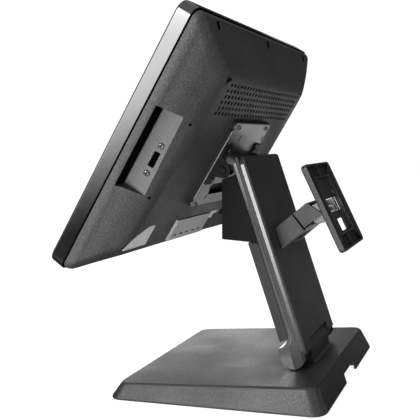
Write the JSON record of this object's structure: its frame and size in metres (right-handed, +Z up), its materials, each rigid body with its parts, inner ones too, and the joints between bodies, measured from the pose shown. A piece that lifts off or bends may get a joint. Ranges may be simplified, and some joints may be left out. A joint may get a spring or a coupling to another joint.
{
  "type": "touchscreen checkout terminal",
  "caption": "Touchscreen checkout terminal tilted back on a folding arm and square weighted base, with a tilting open tray for a customer display on the arm's rear.",
  "frame": {"origin": "on the desk, under the middle of the terminal's box", "axes": "+Z up; the screen faces -Y and up, the rear faces +Y; +X is to the viewer's right when looking at the screen"},
  "size_m": [0.358, 0.278, 0.4031],
  "materials": {
    "gloss_black": "gloss",
    "textured_black": "matte",
    "satin_black": "satin",
    "casting_black": "satin",
    "arm_paint": "satin",
    "steel": "satin",
    "steel_plate": "satin",
    "display_module": "satin",
    "grey_plate": "satin",
    "chrome": "polished",
    "aluminium_trim": "satin",
    "rubber": "matte",
    "screen_glass": "gloss",
    "circuit_board": "satin",
    "label_white": "satin"
  },
  "bodies": {
    "stand_base": {"base_shell": "casting_black", "base_weight_plate": "steel_plate", "rubber_foot_1": "rubber", "rubber_foot_2": "rubber", "rubber_foot_3": "rubber", "rubber_foot_4": "rubber", "hinge_knuckle": "satin_black", "hinge_shaft": "chrome", "hinge_bolt_1": "chrome", "hinge_bolt_2": "chrome"},
    "arm": {"arm_core": "arm_paint", "arm_front_cover": "satin_black", "arm_rear_cover": "satin_black", "arm_trim_left": "aluminium_trim", "arm_trim_right": "aluminium_trim", "neck_housing": "satin_black", "tilt_barrel_left": "steel", "tilt_barrel_right": "steel", "bracket_block": "satin_black", "bracket_cap": "satin_black", "tray_hinge_barrel": "chrome"},
    "head": {"front_bezel": "gloss_black", "touch_glass": "screen_glass", "lcd_panel": "display_module", "panel_chassis": "steel_plate", "motherboard": "circuit_board", "heat_sink": "aluminium_trim", "storage_drive": "aluminium_trim", "speaker": "textured_black", "power_inlet": "gloss_black", "serial_socket": "chrome", "network_socket": "chrome", "rear_cover": "textured_black", "cover_screw_1": "chrome", "cover_screw_2": "chrome", "cover_screw_3": "chrome", "io_panel": "aluminium_trim", "rating_label": "label_white", "side_port_socket": "gloss_black", "side_port_screw_1": "chrome", "side_port_screw_2": "chrome", "vesa_plate": "grey_plate", "plate_screw_1": "chrome", "plate_screw_2": "chrome", "plate_screw_3": "chrome", "plate_screw_4": "chrome", "leaf_screw_1": "chrome", "leaf_screw_2": "chrome", "leaf_screw_3": "chrome", "leaf_screw_4": "chrome", "tilt_leaf_left": "steel", "tilt_leaf_right": "steel"},
    "button": {"power_button": "satin_black"},
    "display": {"display_tray": "satin_black", "tray_hinge_leaf": "steel", "tray_screw_1": "chrome", "tray_screw_2": "chrome"}
  },
  "joints": [
    {"name": "base_hinge", "type": "hinge", "parent": "stand_base", "child": "arm", "pos_m": [0, 0.0772, 0.0414], "axis": [1, 0, 0], "range_deg": [-14, 20]},
    {"name": "head_tilt", "type": "hinge", "parent": "arm", "child": "head", "pos_m": [0, 0.0108, 0.24497], "axis": [1, 0, 0], "range_deg": [-25, 35]},
    {"name": "tray_tilt", "type": "hinge", "parent": "arm", "child": "display", "pos_m": [0, 0.10887, 0.19078], "axis": [1, 0, 0], "range_deg": [-30, 30]},
    {"name": "power_button_press", "type": "slide", "parent": "head", "child": "button", "axis": [0, 0.6, 0.8], "range_m": [0, 0.0015], "stiffness_N_per_m": 400}
  ]
}
